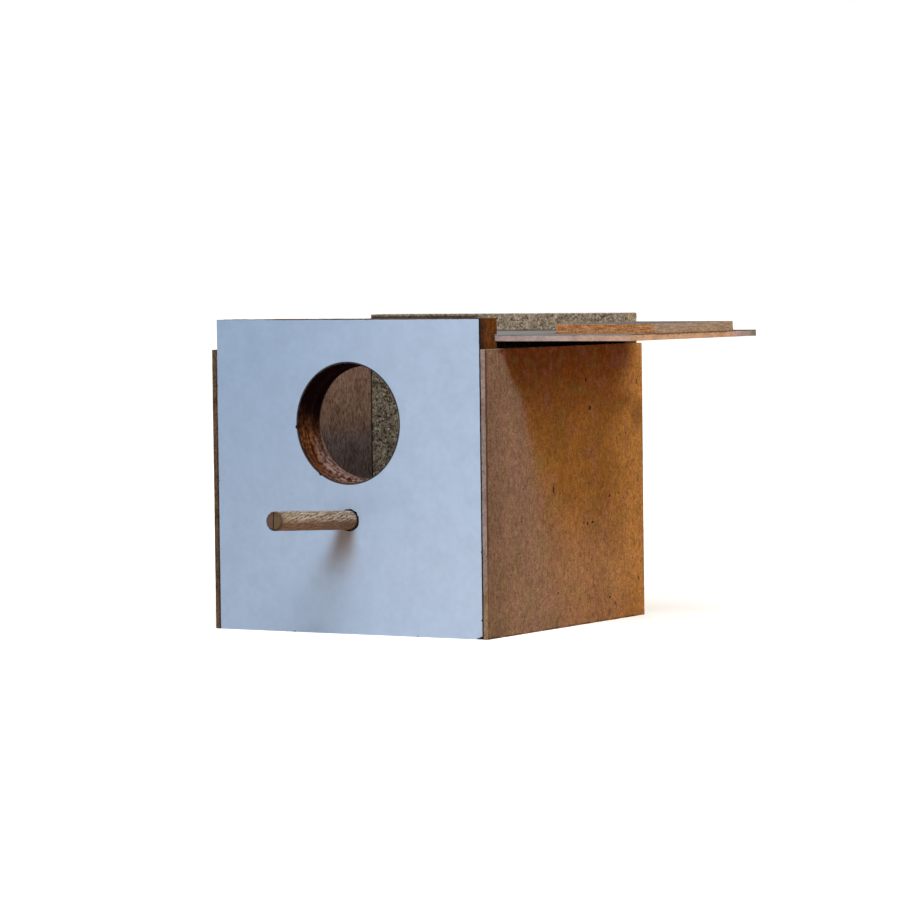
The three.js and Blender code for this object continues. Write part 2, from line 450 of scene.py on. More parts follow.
def rim_finish():
    """The side boards' sawn edges: pinkish grey on the right board, browner low down, and dark
    brown on the left. Painted shade fills the corner where they meet the front board."""
    finish = Finish("hardboard_rim")
    fibre = finish.noise(0.7, (1, 1, 1.6), detail=3)
    grain = finish.speckle(fibre, finish.noise(9, shift=4, detail=3), 0.4)
    pale = finish.ramp(grain, GRAIN, (112, 92, 82), (137, 117, 108), (156, 138, 128))
    low = finish.ramp(grain, GRAIN, (104, 76, 54), (136, 106, 80), (158, 130, 104))
    dark = finish.ramp(grain, GRAIN, (60, 46, 32), (88, 68, 52), (108, 86, 68))
    pale = finish.mix(finish.between(finish.z, 14, 44), low, pale)
    finish.colour = finish.mix(finish.between(finish.x, 10, -10), pale, dark)
    # Painted shade in the corner against the front board
    end = front_high[0]
    finish.over(finish.between(abs(finish.x), end + 0.25, end + 0.6, 0.92, 0), (24, 16, 16))
    return finish.done(0.85, fibre, 0.05, 0.05)


# Dark flecks on the right side, each at a Y and a Z with a half width and a half height
SIDE_FLECKS = (
    (18.9, 118.6, 1.0, 0.9), (22.8, 104.9, 1.2, 1.3), (-13.6, 66.9, 0.7, 2.2),
    (15.6, 49.4, 0.8, 0.6), (19.1, 48.9, 0.9, 0.9), (24.2, 49.3, 1.3, 0.7),
    (41.5, 61.2, 0.9, 0.8), (51.0, 62.0, 0.7, 0.6), (58.3, 91.3, 0.6, 0.7),
    (-10.0, 17.1, 0.8, 0.6), (40.7, 11.4, 1.1, 0.6), (-44.1, 53.5, 0.5, 0.6),
)
SIDE_X = 77


def side_finish():
    """Brown hardboard, greyish in front of a slanting line and orange brown behind it: dark at the
    top and along the line, paler towards the bottom and the back edge, where only the arris is
    dark. The dark zone behind the line and the dark top are mostly the open lid's painted shadow,
    and the paler bottom and back edge are painted light. Clouds, tangled fibres, pits and the
    flecks listed above lie over them. It is darker near its front edge, a little darker along
    its top as painted shade under the lid, and its foot has a broken line of painted shade. The
    line runs back with the square root of the depth below its top."""
    finish = Finish("hardboard")
    y, up = finish.y, finish.z
    # The slanting line where the open lid's painted shadow begins, softer low down
    line = finish.maths("SQRT", finish.maths("MAXIMUM", 140 - up, 0) / 80) * 58
    beyond = y + finish.noise(20, shift=1, detail=3) * 14 - line + 72
    behind = finish.between(beyond / finish.between(up, 20, 125, 60, 7) + 0.5, 0, 1)
    # Behind the line: painted light low down and the lid's painted shadow at the top
    finish.colour = finish.mix(finish.between(up, 15, 75), tone(168, 118, 77), tone(149, 95, 36))
    finish.over(finish.between(up, 85, 134), (113, 53, 4))
    # Painted shade just behind the line, in the upper part
    deep = 0.84
    shadow = finish.maths("MAXIMUM", finish.between(beyond, 14, 56, deep, 1),
                          finish.between(up, 98, 76, deep, 1))
    finish.shade(shadow, deep, 1, deep)
    # Painted light along the back edge, weaker on the left board
    corner = finish.between(up, 106, 114, 0, 20) * finish.between(up, 118, 130, 1, 0.2)
    edge = finish.between(y, finish.between(up, 92, 112, 30, 60) - corner, 76)
    finish.over(edge * finish.between(finish.x, -10, 10, 0.4, 0.88), (196, 134, 68))
    finish.over(finish.spot((0, 72, 100), (0, 9, 8)) * 0.4, (100, 58, 18))
    greyish = finish.mix(finish.between(up, 10, 80), tone(142, 106, 80), tone(134, 100, 78))
    finish.colour = finish.mix(behind, greyish, finish.colour)

    tint = finish.noise(11, shift=13, detail=3)
    finish.over(finish.between(tint, 0.5, 0.66, 0, 0.22), (128, 108, 58))
    finish.over(finish.between(tint, 0.5, 0.34, 0, 0.2), (158, 104, 92))
    finish.shade(finish.noise(19, shift=3, detail=4), 0.3, 0.7, 0.88, 1.05)
    upright = finish.noise(1.1, (1, 1, 3), shift=2, detail=3, bend=1.2)
    matted = finish.noise(1.5, (1, 1.2, 1), shift=6, detail=4, bend=2.2)
    finish.shade(upright, 0.42, 0.68, 1.1, 0.74)
    finish.shade(matted, 0.36, 0.64, 0.7, 1.17)
    finish.shade(finish.noise(3.2, shift=17, detail=4, bend=0.6), 0.34, 0.64, 0.88, 1.08)
    pit = finish.noise(1.3, shift=29, detail=1)
    finish.over(finish.between(pit, 0.66, 0.74, 0, 0.55), (48, 22, 8))

    # Darker near the front edge, and a little darker along the top, as painted shade under the lid
    front = front_low[1]
    edge_darkest = 0.78
    edge_tone = finish.maths("MAXIMUM", finish.between(y, front + 2, front + 30, edge_darkest, 1),
                        finish.between(up, 112, 130, edge_darkest, 0.95))
    finish.shade(edge_tone, edge_darkest, 1, edge_darkest)
    rim = finish.between(y, front + 1.6, front + 0.7) * finish.between(up, 20, 50, 0.2, 0.85)
    finish.over(rim, (78, 44, 38))
    # A broken line of painted shade along the foot
    foot = finish.between(up, 1.2, 0.5) * finish.between(tint, 0.4, 0.55)
    finish.over(foot * 0.7, (64, 38, 26))
    arris = finish.between(y, 75, 75.6, 0, 0.6) * finish.between(up, 105, 90)
    finish.over(arris, (66, 46, 26))
    speck = finish.between(finish.cells(3.1, shift=7)[2], 0.1, 0.16, 1, 0)
    marks = speck * finish.between(finish.noise(9, shift=11), 0.5, 0.62) * 0.3
    for along, height, half_along, half_up in SIDE_FLECKS:
        fleck = finish.spot((SIDE_X, along, height), (20, half_along, half_up))
        marks = finish.maths("MAXIMUM", marks, fleck * 0.95)
    finish.over(marks, (40, 16, 8))
    roughness = finish.between(finish.noise(14, shift=8), 0.3, 0.7, 0.6, 0.75)
    return finish.done(roughness, finish.speckle(upright, matted), 0.04, 0.05)


def screen_finish():
    """The rear face of hardboard: reddish brown, pressed with the fine square dimples of a wire
    screen, which are the product of two sine waves, and dark in the seam with the back board.
    Low down it is greyer and darker, as painted shade inside the box, and higher up warmer, as
    painted light."""
    finish = Finish("hardboard_rear")
    turn = FULL_TURN / 1.2
    dimples = (finish.maths("SINE", (finish.x + finish.y) * turn)
               * finish.maths("SINE", (finish.x + finish.z) * turn))
    fibre = finish.noise(1, (1, 1, 2.4), shift=5, detail=4, bend=0.8)
    grain = finish.speckle(fibre, finish.noise(11, shift=8, detail=3), 0.22)
    # Lit and shaded copies: the upper tone is painted light, the lower one painted shade
    upper = finish.ramp(grain, WIDE_GRAIN, (104, 72, 52), (158, 122, 98), (196, 158, 132))
    lower = finish.ramp(grain, WIDE_GRAIN, (92, 70, 60), (144, 122, 112), (178, 154, 146))
    finish.colour = finish.mix(finish.between(finish.z, 86, 98), lower, upper)
    finish.shade(dimples, -1, 1, 0.8)
    # Painted shade inside the box, darker low down
    finish.shade(finish.z, 74, 106, 0.5, 0.99)
    seam = finish.between(finish.y, back_low[1] - 1.3, back_low[1] - 0.5)
    finish.over(seam * 0.85, (20, 12, 12))
    return finish.done(0.9, finish.speckle(dimples, fibre), 0.08, 0.03)


def chipboard_finish():
    """Raw chipboard: flakes of two sizes, each with its own tone, and dust in the gaps between
    them. It is darker along the top left. The shade on its inner face, deepest under the lid, is
    painted in."""
    finish = Finish("chipboard")
    large = finish.cells(1.2, (1.3, 1, 1))[0]
    small = finish.cells(0.6, (1, 1, 1.3), shift=5)[1]
    value = finish.speckle(large, small, 0.55)
    finish.colour = finish.ramp(value, (0.06, 0.28, 0.5, 0.72, 0.94), (76, 66, 50), (120, 104, 84),
                                (152, 132, 112), (176, 156, 134), (206, 190, 166))
    finish.over(finish.between(finish.noise(4, shift=12), 0.52, 0.68, 0, 0.4), (136, 132, 100))
    dust = finish.between(finish.noise(0.8, shift=9), 0.58, 0.74)
    finish.over(dust * 0.5, (78, 62, 46))
    # Painted shade on the inner face, deepest under the lid, with darker gaps and a few pale flakes
    inside = finish.between(finish.y, back_low[1] + 1, back_low[1] + 0.4)
    shadow = inside * finish.between(finish.z, 142, 140)
    finish.over(shadow * finish.between(finish.z, 127, 136, 0.45, 0.93), (20, 18, 14))
    finish.over(shadow * finish.between(value, 0.28, 0.42, 0.6, 0), (28, 26, 18))
    chip = shadow * finish.between(value, 0.68, 0.8, 0, 0.45)
    finish.over(chip * finish.between(finish.z, 133, 130), (178, 178, 134))
    end = finish.between(finish.x, 72.5, 73.8) * finish.between(finish.z, 143, 141.5)
    finish.over(end * 0.85, (74, 50, 34))
    # Darker along the top left
    dark_patch = finish.between(finish.x, -4, -14) * finish.between(finish.z, 147.6, 148.4)
    finish.over(dark_patch * finish.between(finish.z, 149.1, 149.9, 0.85, 0.2), (46, 46, 42))
    return finish.done(0.9, value, 0.08, 0.05)


def core_finish():
    """The front board's raw core: dark and greyish near the facing, orange brown behind it. Painted
    shade darkens the gaps at both ends of the facing and round the perch, and the top left is
    chipped pale."""
    finish = Finish("panel_core")
    depth = finish.between(finish.y, face_y + 2, face_y + 8)
    finish.colour = finish.mix(depth, tone(62, 36, 24), tone(100, 56, 20))
    fibre = finish.noise(0.8, detail=3)
    blotch = finish.noise(3, shift=4, detail=3)
    finish.shade(finish.speckle(fibre, blotch), 0.37, 0.61, 0.46, 1.26)
    # Painted shade in the gaps at both ends of the facing
    ends = finish.between(abs(finish.x), 73.9, 74.1, 0, 0.9)
    finish.over(ends * finish.between(finish.y, face_y + 1.2, face_y + 0.7), (20, 16, 18))
    lip = finish.between(finish.z, 149.3, 149.6) * finish.between(finish.y, face_y + 1.6, face_y + 0.9)
    finish.over(lip * finish.between(finish.x, -38, -50, 0, 0.85), (150, 162, 176))
    # Painted shade in the gap round the perch
    hole = finish.spot((PERCH_X, 0, PERCH_Z), (7, 0, 7))
    finish.over(hole * 0.9, (14, 10, 12))
    return finish.done(0.85, fibre, 0.05, 0.05)


def bore_finish():
    """The wall of the entrance, with its light and shade painted: nearly black in its upper half,
    which faces down into shade, orange brown below that and lit raw pinkish brown at the bottom,
    from higher up past the step, with streaks that run round it. Its mouth is black, and its rear
    edge carries a pale painted highlight."""
    finish = Finish("bore_wall")
    height = finish.z + finish.noise(7, shift=2, detail=3) * 14
    step_y = face_y + ENTRANCE_STEP_DEPTH
    rear = finish.between(finish.y, step_y - 1, step_y + 1)
    streak = finish.noise(0.5, (14, 1, 14), detail=3)
    grain = finish.speckle(streak, finish.noise(1.2, (1.5, 1, 1.5), shift=6, detail=3))
    # The nearly black upper wall, which faces down, is painted shade; the raw pinkish bottom is painted
    # light
    raw = finish.ramp(grain, (0.36, 0.48, 0.58), (42, 20, 15), (90, 61, 50), (156, 124, 110))
    warm = finish.ramp(grain, (0.4, 0.5, 0.6), (40, 15, 8), (76, 40, 20), (126, 76, 40))
    painted_shade = finish.ramp(grain, (0.38, 0.62), (8, 2, 4), (34, 9, 10))
    finish.colour = finish.mix(finish.between(height - rear * 17, 70, 88), raw, warm)
    finish.colour = finish.mix(finish.between(height + rear * 4, 101, 116), finish.colour, painted_shade)
    # A pale painted highlight along the rear edge
    edge_tone = finish.between(finish.y, front_high[1] - 1.2, front_high[1] - 0.5, 0, 0.45)
    finish.over(edge_tone, (146, 122, 116))
    finish.over(finish.between(finish.y, face_y + 0.5, face_y + 1.3, 0.9, 0), (16, 8, 10))
    return finish.done(0.85, grain, 0.08, 0.05)


def lid_paint_finish():
    """Grey paint on hardboard, rolled on thin enough for the board to show as brownish specks,
    scuffed along the way the lid slides, and darker brown round the grip plate."""
    finish = Finish("lid_facing")
    cloud = finish.noise(16, detail=4)
    finish.colour = finish.ramp(cloud, (0.32, 0.68), (118, 114, 107), (128, 129, 127))
    roller = finish.noise(1.2, shift=9, detail=3)
    finish.shade(roller, 0.34, 0.64, 0.9, 1.04)
    finish.over(finish.between(finish.noise(0.7, shift=4), 0.6, 0.75, 0, 0.5), (94, 80, 66))
    scuff = finish.noise(0.6, (40, 1, 1), shift=21)
    finish.over(finish.between(scuff, 0.62, 0.74, 0, 0.35), (152, 150, 146))
    middle = (grip_low + grip_high) / 2
    half = (grip_high - grip_low) / 2
    away = finish.maths("MAXIMUM", abs(finish.x - middle[0]) - half[0], abs(finish.y - middle[1]) - half[1])
    wander = finish.noise(7, shift=15, detail=4) * 14
    darker_near_plate = finish.between(away + wander, 8, 26, 0.8, 0)
    edge = finish.between(finish.x, grip_high[0] - 0.6, grip_high[0] - 0.2)
    finish.over(finish.maths("MAXIMUM", darker_near_plate, edge), (98, 70, 52))
    return finish.done(0.9, roller, 0.03, 0.02)


def lid_edge_finish():
    """The lid's sawn edges: pinkish grey near the box, browner towards and round the open end,
    where glue has run down from the grip plate."""
    finish = Finish("lid_hardboard")
    along = finish.between(finish.x, 100, 140)
    finish.colour = finish.mix(along, tone(168, 146, 140), tone(184, 148, 126))
    finish.over(finish.between(finish.y, -61.2, -57), (194, 152, 122))
    finish.over(finish.between(finish.y, 30, 50), (168, 144, 138))
    finish.over(finish.between(finish.y, 54, 63), (112, 110, 98))
    fibre = finish.noise(0.6, (3, 3, 1), detail=3)
    finish.shade(finish.speckle(fibre, finish.noise(6, shift=4)), 0.36, 0.62, 0.78, 1.1)
    run = finish.z - (lid_top - 2.2) + finish.noise(3, shift=19, detail=3) * 3
    drip = (finish.between(run, 2.8, 3.2)
            * finish.between(finish.x, grip_high[0] - 0.5, grip_high[0] - 0.2)
            * finish.between(finish.y, grip_high[1], grip_high[1] - 6)
            * finish.between(finish.y, grip_low[1] - 1, grip_low[1]))
    finish.over(drip * 0.75, (142, 102, 64))
    return finish.done(0.85, fibre, 0.04, 0.05)


def grip_finish():
    """The grip plate's board: orange brown with long level streaks, paler on its sawn open end."""
    finish = Finish("grip_board")
    streak = finish.noise(0.7, (9, 9, 1), detail=3)
    grain = finish.speckle(streak, finish.noise(0.9, shift=6, detail=3), 0.4)
    warm = finish.ramp(grain, GRAIN, (130, 80, 40), (178, 123, 77), (212, 160, 116))
    sawn = finish.ramp(grain, GRAIN, (128, 104, 84), (153, 128, 107), (176, 150, 130))
    finish.colour = finish.mix(finish.between(finish.x, 145.6, 146.2), warm, sawn)
    return finish.done(0.85, grain, 0.06, 0.05)


def glue_finish():
    """Dried brown glue with a low gloss."""
    finish = Finish("dried_glue")
    lump = finish.noise(1.5, detail=3)
    finish.colour = finish.ramp(lump, (0.36, 0.62), (100, 68, 40), (156, 116, 80))
    return finish.done(0.5, lump, 0.05, 0.4)


def beech_finish():
    """Raw beech dowel: fine grain and short pores along the perch, with painted shade in the valleys
    of its flutes and below, and dark end grain that has split upright through the middle."""
    finish = Finish("beech")
    grain = finish.noise(0.7, (1, 12, 1), detail=3)
    aside = finish.x - PERCH_X
    # The height over the dowel's axis, which drops this much from the face to the box's middle
    drop = 3.8
    level = finish.z - (PERCH_Z - drop) + finish.y * math.tan(PERCH_TILT)
    halves = finish.between(aside, -0.5, 0.2)
    finish.colour = finish.mix(halves, tone(98, 76, 66), tone(102, 81, 56))
    finish.shade(finish.maths("SINE", grain * 60), -1, 1, 0.8, 1.1)
    finish.shade(level, 0.5, 4, 1, 0.6)
    end_grain = finish.colour

    finish.colour = finish.ramp(grain, WIDE_GRAIN, (122, 100, 80), (156, 136, 116), (181, 166, 152))
    moss = finish.noise(5, shift=14, detail=3)
    finish.over(finish.between(moss, 0.5, 0.64, 0, 0.4), (142, 138, 98))
    pore = finish.between(finish.noise(0.4, (1, 5, 1), shift=6), 0.6, 0.7)
    finish.over(pore * 0.6, (104, 74, 52))
    # Painted shade in the flutes' valleys
    valley = finish.value("ShaderNodeAttribute", {}, "Fac", attribute_name="valley")
    finish.over(valley * 0.85, (74, 54, 38))
    # Painted shade below the axis
    finish.over(finish.between(level, 1.6, -1.8) * 0.74, (104, 62, 38))
    finish.over(finish.between(finish.y, tip_y + 3.2, tip_y + 0.9) * 0.6, (86, 62, 46))

    end = finish.between(finish.y, tip_y + 0.9, tip_y + 0.4)
    finish.colour = finish.mix(end * 0.8, finish.colour, end_grain)
    end_rim = finish.between(finish.out(aside, level), 3.5, 4.3, 0, 0.7)
    finish.over(end * end_rim, (52, 40, 36))
    split = finish.between(abs(aside + 0.15), 0.22, 0.42, 0.9, 0)
    finish.over(end * split, (30, 16, 12))
    return finish.done(0.8, grain, 0.05, 0.1)


def brad_finish():
    """Steel brads wiped over with the boards' own brown filler, dull and scratched."""
    finish = Finish("brad_steel")
    scratch = finish.noise(0.3, detail=3)
    finish.colour = finish.ramp(scratch, (0.36, 0.6), (118, 84, 56), (160, 120, 84))
    finish.shader.inputs["Metallic"].default_value = 0.2
    return finish.done(0.6, scratch, 0.02, 0.3)


white_facing = white_facing_finish()
hardboard = side_finish()
hardboard_rear = screen_finish()
chipboard = chipboard_finish()
panel_core = core_finish()
bore_wall = bore_finish()
lid_paint = lid_paint_finish()
lid_board = lid_edge_finish()
grip_board = grip_finish()
dried_glue = glue_finish()
beech = beech_finish()
brad_steel = brad_finish()
hardboard_rim = rim_finish()
grip_face = fibreboard_finish("grip_face", (74, 68, 64), (100, 94, 90), (118, 110, 104))
floor_board = fibreboard_finish("floor_board", (92, 62, 40), (124, 90, 62), (148, 114, 84))


# Boards

def rough_rim(thin_axis, wide, rim, size, seed):
    """Relief with one height on a board's two wide faces and another on its sawn rim."""
    def relief(points, outward):
        on_rim = 1 - np.abs(outward[:, thin_axis])
        return (wide + (rim - wide) * on_rim) * waves(points, size, seed)
    return relief


def kerf_tool(name, face, outward):
    """The saw kerf for one edge of the lid, cut into the face of a board at that depth in Y."""
    bottom = face + outward * KERF_DEPTH
    mouth = face - outward * OVERRUN
    low = np.array([front_low[0] - OVERRUN, min(bottom, mouth), lid_low[2] - KERF_CLEARANCE])
    high = np.array([front_high[0] + OVERRUN, max(bottom, mouth), lid_top + KERF_CLEARANCE])
    return eased_board(name, low, high, ease=0.15, step=4, relief=lambda points, outward: 0 * points[:, 0])


def entrance_tool():
    """The two bores of the entrance. A ring's radius follows the front bore up to the step and the
    rear bore past it, with shallow rings from the cutter and a slower wander round the wall."""
    front, back = front_low[1] - OVERRUN, front_high[1] + OVERRUN
    depths = np.concatenate([[front, front], np.arange(face_y, back, 0.3), [back, back]])
    rear = np.clip((depths - face_y - ENTRANCE_STEP_DEPTH) / 0.4, 0, 1)
    radius = ENTRANCE_RADIUS + (ENTRANCE_REAR_RADIUS - ENTRANCE_RADIUS) * rear
    angles = around(240)
    wall = np.stack(np.broadcast_arrays(
        ENTRANCE_RADIUS * np.cos(angles)[None, :], 14 * depths[:, None],
        ENTRANCE_RADIUS * np.sin(angles)[None, :]), axis=-1)
    radii = radius[:, None] + 0.07 * waves(wall, 16, seed=11) + 0.03 * waves(wall, 3, seed=12)
    return turned_body("entrance_bore", depths, radii, (ENTRANCE_X, 0, ENTRANCE_Z),
                       shifts=ENTRANCE_REAR_SHIFT * rear)


# Chips in the facing's rims: angle in degrees, half width in degrees and depth
ENTRANCE_CHIPS = (
    (184, 2.4, 1.3), (237, 2.2, 1.4), (171, 1.4, 0.4), (205, 2.0, 0.4), (3, 2.0, 0.5), (353, 1.4, 0.4),
    (268, 1.8, 0.5), (290, 1.4, 0.3), (128, 1.3, 0.3), (62, 1.2, 0.3), (38, 1.5, 0.3), (320, 1.4, 0.35),
)
PERCH_CHIPS = ((0, 50, 0.5), (60, 25, 0.3), (310, 30, 0.3), (150, 14, 0.25))
# Nicks in the facing's outer edges: X, Z and radius
EDGE_NICKS = (
    (74.3, -0.3, 1.9), (72.0, -0.9, 1.5), (-74.2, 149.8, 0.7), (74.3, 149.9, 0.5), (-74.3, -0.1, 0.6),
    (74.2, 9.0, 0.5), (74.25, 41.0, 0.4), (74.25, 97.5, 0.35), (-74.25, 72.0, 0.4), (12.0, 149.9, 0.35),
    (-31.0, -0.1, 0.4), (38.5, -0.1, 0.35), (-74.25, 118.0, 0.3), (-52.0, 149.9, 0.3),
)


def facing_tool(name, centre_x, centre_z, radius, chips, seed):
    """A bore through the facing with a ragged rim: the radius wanders and rises over each chip as
    the square root of one less the squared share of the chip's half width."""
    angles = around(720)
    rim = radius * np.stack([np.cos(angles), 0 * angles, np.sin(angles)], axis=-1)
    ragged = radius + 0.08 * (1 + waves(rim, 2.2, seed)) + 0.05 * waves(rim, 0.8, seed + 1)
    for middle, half_width, depth in chips:
        away = (np.degrees(angles) - middle + 180) % 360 - 180
        ragged += depth * np.sqrt(np.clip(1 - (away / half_width) ** 2, 0, None))
    tool = plug(name, facing_low[1] - OVERRUN, facing_high[1] + OVERRUN, ragged, (centre_x, 0, centre_z))
    paint(tool, panel_core)
    return tool


def make_front():
    """The fibreboard front with its bores and kerf, and the chipped white facing on it."""
    core = eased_board("front_core", front_low, front_high, ease=0.25, step=2,
                       relief=rough_rim(1, wide=0.01, rim=0.05, size=1.4, seed=21))
    paint(core, panel_core)
    bore = entrance_tool()
    paint(bore, bore_wall)
    perch_hole = plug("perch_hole", -OVERRUN, front_high[1] - face_y + 2 * OVERRUN,
                      np.full(64, PERCH_RADIUS + PERCH_CLEARANCE), perch_start, perch_turn)
    cut(core, bore, perch_hole, kerf_tool("front_kerf", front_high[1], -1))
    settle(core, "box", "mdf_board", "front_panel")
    facing = eased_board("white_face", facing_low, facing_high, ease=0.09, step=2,
                         relief=rough_rim(1, wide=0, rim=0.03, size=1.2, seed=22))
    paint(facing, white_facing, panel_core, thin_axis=1)
    cut(facing,
        facing_tool("entrance_rim", ENTRANCE_X, ENTRANCE_Z, ENTRANCE_RADIUS - 0.2, ENTRANCE_CHIPS, 31),
        facing_tool("perch_rim", PERCH_X + 0.35, PERCH_Z, PERCH_RADIUS + 0.6, PERCH_CHIPS, 33),
        *(facing_tool(f"nick_{number}", x, z, radius, (), 40 + number)
          for number, (x, z, radius) in enumerate(EDGE_NICKS)))
    settle(facing, "box", "white_facing", "front_facing")


def brad_nodes(start):
    """The names of the frame's brads whose names begin with start."""
    return sorted(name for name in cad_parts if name.startswith(start) and "_brad_" in name)


def brad_place(node):
    """A brad's length, the end of its head and the turn that points the head outwards."""
    low, high = to_mm(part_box(node))
    axis = int(np.argmax(high - low))
    head = (low + high) / 2
    sign = 1 if head[axis] > 0 else -1
    head[axis] = (high if sign > 0 else low)[axis]
    turn = Matrix.Rotation(-sign * math.pi / 2, 4, "Z") if axis == 0 else Matrix.Identity(4)
    return high[axis] - low[axis], head, turn


def pocket_tool(node):
    """The dimple that a brad's head is driven into."""
    _, head, turn = brad_place(node)
    depths = [OVERRUN, OVERRUN, -0.8 * BRAD_POCKET_DEPTH, -BRAD_POCKET_DEPTH, -BRAD_POCKET_DEPTH]
    radii = np.outer([0, 1, 1, 0.8, 0], np.full(20, BRAD_POCKET_RADIUS))
    return turned_body(f"{node}_pocket", depths, radii, head, turn)


def make_side(side):
    """One hardboard side with the dimples of its brads."""
    low, high = to_mm(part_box(f"{side}_side"))
    board = eased_board(f"{side}_wall", low, high, ease=0.3, step=2,
                        relief=rough_rim(0, wide=0.012, rim=0.07, size=1.3, seed=41))
    paint(board, hardboard, hardboard_rim, 0, hardboard_rear, 1 if side == "left" else -1)
    cut(board, *(pocket_tool(node) for node in brad_nodes(side)))
    settle(board, "box", "hardboard", f"{side}_side")


def crumbly(points, outward):
    """The chipboard's relief: slight on its wide faces, and on its rim coarse with broken pits
    where a slow wave rises past a limit."""
    on_rim = 1 - np.abs(outward[:, 1])
    fine = waves(points, 1.7, seed=51) * (0.03 + 0.09 * on_rim)
    pits = np.clip(waves(points, 3.2, seed=52) - 0.7, 0, 1.2) * (0.04 + 0.32 * on_rim)
    return np.minimum(fine - pits, 0.1)


def make_back():
    """The chipboard back with its kerf and the dimples of its brads."""
    board = eased_board("back_board", back_low, back_high, ease=0.35, step=1, relief=crumbly)
    paint(board, chipboard)
    cut(board, kerf_tool("back_kerf", back_low[1], 1), *(pocket_tool(n) for n in brad_nodes("back_floor")))
    settle(board, "box", "chipboard", "back_panel")


def dished(points, outward):
    """Lowers the floor's top into a dish: part of a sphere as deep as DISH_DEPTH in the middle,
    over the fibreboard's own slight relief."""
    radius = (DISH_RADIUS ** 2 + DISH_DEPTH ** 2) / (2 * DISH_DEPTH)
    middle = (floor_low + floor_high) / 2
    away = np.hypot(points[:, 0] - middle[0], points[:, 1] - middle[1])
    inside = np.clip(DISH_RADIUS ** 2 - away ** 2, 0, None)
    drop = np.sqrt(radius ** 2 - DISH_RADIUS ** 2 + inside) - (radius - DISH_DEPTH)
    top = outward[:, 2] > 0.99
    return 0.02 * waves(points, 2, seed=61) - np.where(top, drop, 0)


def make_floor():
    """The floor board with its dish."""
    board = eased_board("floor_board", floor_low, floor_high, ease=0.25, step=1.3, relief=dished)
    paint(board, floor_board)
    settle(board, "box", "mdf_board", "floor")


def make_lid():
    """The lid sheet, its painted top, and the grip plate with its line of glue."""
    sheet = eased_board("lid_board", lid_low, lid_high, ease=0.25, step=2,
                        relief=rough_rim(2, wide=0.01, rim=0.07, size=1.2, seed=71))
    paint(sheet, hardboard_rear, lid_board, thin_axis=2)
    settle(sheet, "lid", "lid_hardboard", "lid_sheet")
    top = eased_board("lid_paint", paint_low, paint_high, ease=0.08, step=2,
                      relief=rough_rim(2, wide=0, rim=0.05, size=1.1, seed=72))
    paint(top, lid_paint)
    settle(top, "lid", "lid_facing", "lid_facing")
    plate = eased_board("grip_board", grip_low, grip_high, ease=0.4, step=1,
                        relief=rough_rim(2, wide=0.02, rim=0.09, size=1.5, seed=73))
    paint(plate, grip_face, grip_board, thin_axis=2)
    settle(plate, "lid", "grip_board", "grip_plate")
    make_glue_line(grip_low, grip_high)


def make_glue_line(low, high):
    """Glue squeezed out round the grip plate's foot: a closed loop along the plate's outline. Its
    section is a low wedge whose toe reaches out by an uneven amount, now and then by a blob."""
    ends = np.array([[low[0], low[1]], [high[0], low[1]], [high[0], high[1]], [low[0], high[1]]])
    steps = np.linspace(0, 1, 120, endpoint=False)[:, None]
    sides = [start + (stop - start) * steps for start, stop in zip(ends, np.roll(ends, -1, axis=0))]
    outline = np.concatenate(sides)
    middle = ends.mean(axis=0)
    half = (ends[2] - ends[0]) / 2
    places = np.column_stack([outline, np.full(len(outline), low[2])])
    uneven = waves(places, 5, seed=91) + 0.7 * waves(places, 1.6, seed=92)
    toe = np.clip(0.22 + 0.22 * uneven, 0.03, 0.9)
    lift = np.clip(0.3 + 0.12 * uneven, 0.1, 0.55)
    inner = middle + (outline - middle) * (1 - 0.5 / half)
    outer = middle + (outline - middle) * (1 + np.outer(toe, 1 / half))
    open_end = (outline[:, 0] > high[0] - WELD) & (outer[:, 0] > high[0])
    outer[open_end, 0] = high[0] + 0.15
    sections = ((inner, 0), (outer, 0), ((outline + outer) / 2, 0.6), (outline, 1), (inner, 1), (inner, 0))
    rings = np.stack([np.column_stack([ring, low[2] + share * lift]) for ring, share in sections])
    bead = joined("grip_glue", rings, grid_faces(*rings.shape[:2], wrap=True))
    paint(bead, dried_glue)
    settle(bead, "lid", "grip_board")


# Perch and brads

FLUTES = 20
FLUTE_POINTS = 12
FLUTE_DEPTH = 0.28
# Radians that the flutes turn in a millimetre
FLUTE_TWIST = -0.062
PERCH_STEP = 0.4


def flute_valley(angles, depths):
    """How deep in a flute each point of the dowel is, from 0 to 1: the fourth power of a cosine
    that turns with the length and sways a little, broken where a slow wave is low."""
    wall = np.stack([8 * np.cos(angles), depths, 8 * np.sin(angles)], axis=-1)
    bend = 0.05 * waves(wall, 5, seed=84)
    valley = np.cos(FLUTES * (angles + bend + FLUTE_TWIST * depths) / 2) ** 4
    return valley * np.clip(0.65 + 0.5 * waves(wall, 3, seed=83), 0.05, 1.25)


